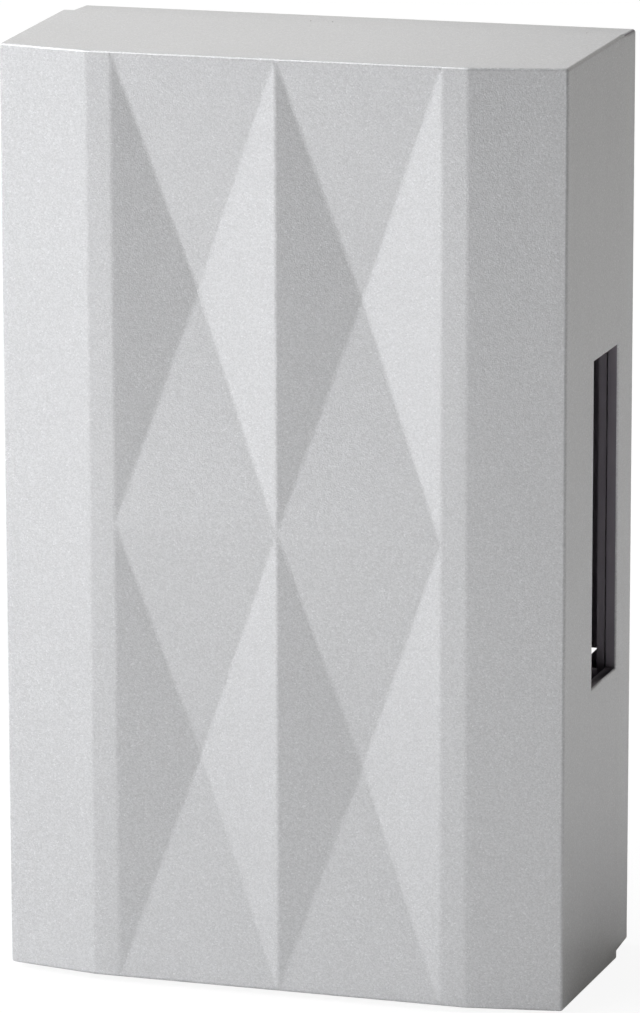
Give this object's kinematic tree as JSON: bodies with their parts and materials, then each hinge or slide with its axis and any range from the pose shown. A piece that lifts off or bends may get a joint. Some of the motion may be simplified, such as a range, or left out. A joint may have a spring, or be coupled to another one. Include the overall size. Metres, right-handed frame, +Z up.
{
  "type": "door chime",
  "caption": "Wall-mounted two-note door chime: a tall box with a facetted lift-off cover and side sound slots over a solenoid striker and tone bars.",
  "frame": {"origin": "middle of the base's rear face, on the wall", "axes": "+X to the right seen from the front, -Y out of the wall towards the viewer, +Z up"},
  "size_m": [0.1182, 0.0552, 0.1918],
  "materials": {
    "silver_plastic": "silver metallic paint on moulded plastic, satin",
    "bar_steel": "ground and zinc plated",
    "zinc_steel": "zinc plated sheet",
    "screw_steel": "zinc plated",
    "spring_steel": "drawn wire and strip",
    "core_steel": "turned, bright",
    "black_rubber": "matt",
    "white_nylon": "moulded, natural",
    "black_phenolic": "moulded, dull",
    "coil_copper": "enamelled copper wire, close wound",
    "coil_tape": "amber polyester tape",
    "brass": "pressed",
    "red_insulation": "pvc wire insulation",
    "black_insulation": "pvc wire insulation"
  },
  "bodies": {
    "base_unit": {"base": "silver_plastic", "tone_bar_left": "bar_steel", "tone_bar_right": "bar_steel", "tone_bar_grommets": "black_rubber", "tone_bar_retainers": "zinc_steel", "solenoid_yoke": "zinc_steel", "yoke_plate": "zinc_steel", "coil_bobbin": "white_nylon", "coil_winding": "coil_copper", "coil_tape": "coil_tape", "return_spring": "spring_steel", "solenoid_screws": "screw_steel", "terminal_block": "black_phenolic", "terminal_clamps": "brass", "terminal_screws": "screw_steel", "terminal_block_screws": "screw_steel", "cable_clamp": "white_nylon", "cable_clamp_screws": "screw_steel", "coil_lead_a": "red_insulation", "coil_lead_b": "black_insulation"},
    "cover": {"cover": "silver_plastic"},
    "plunger": {"plunger_core": "core_steel", "striker_pin_left": "white_nylon", "striker_pin_right": "white_nylon", "spring_clip": "spring_steel"}
  },
  "joints": [
    {"name": "cover_lift", "type": "slide", "parent": "base_unit", "child": "cover", "axis": [0, -1, 0], "range_m": [0, 0.06]},
    {"name": "plunger_slide", "type": "slide", "parent": "base_unit", "child": "plunger", "axis": [1, 0, 0], "range_m": [-0.0019, 0.0069], "stiffness_N_per_m": 20, "deforming": ["return_spring"]}
  ]
}
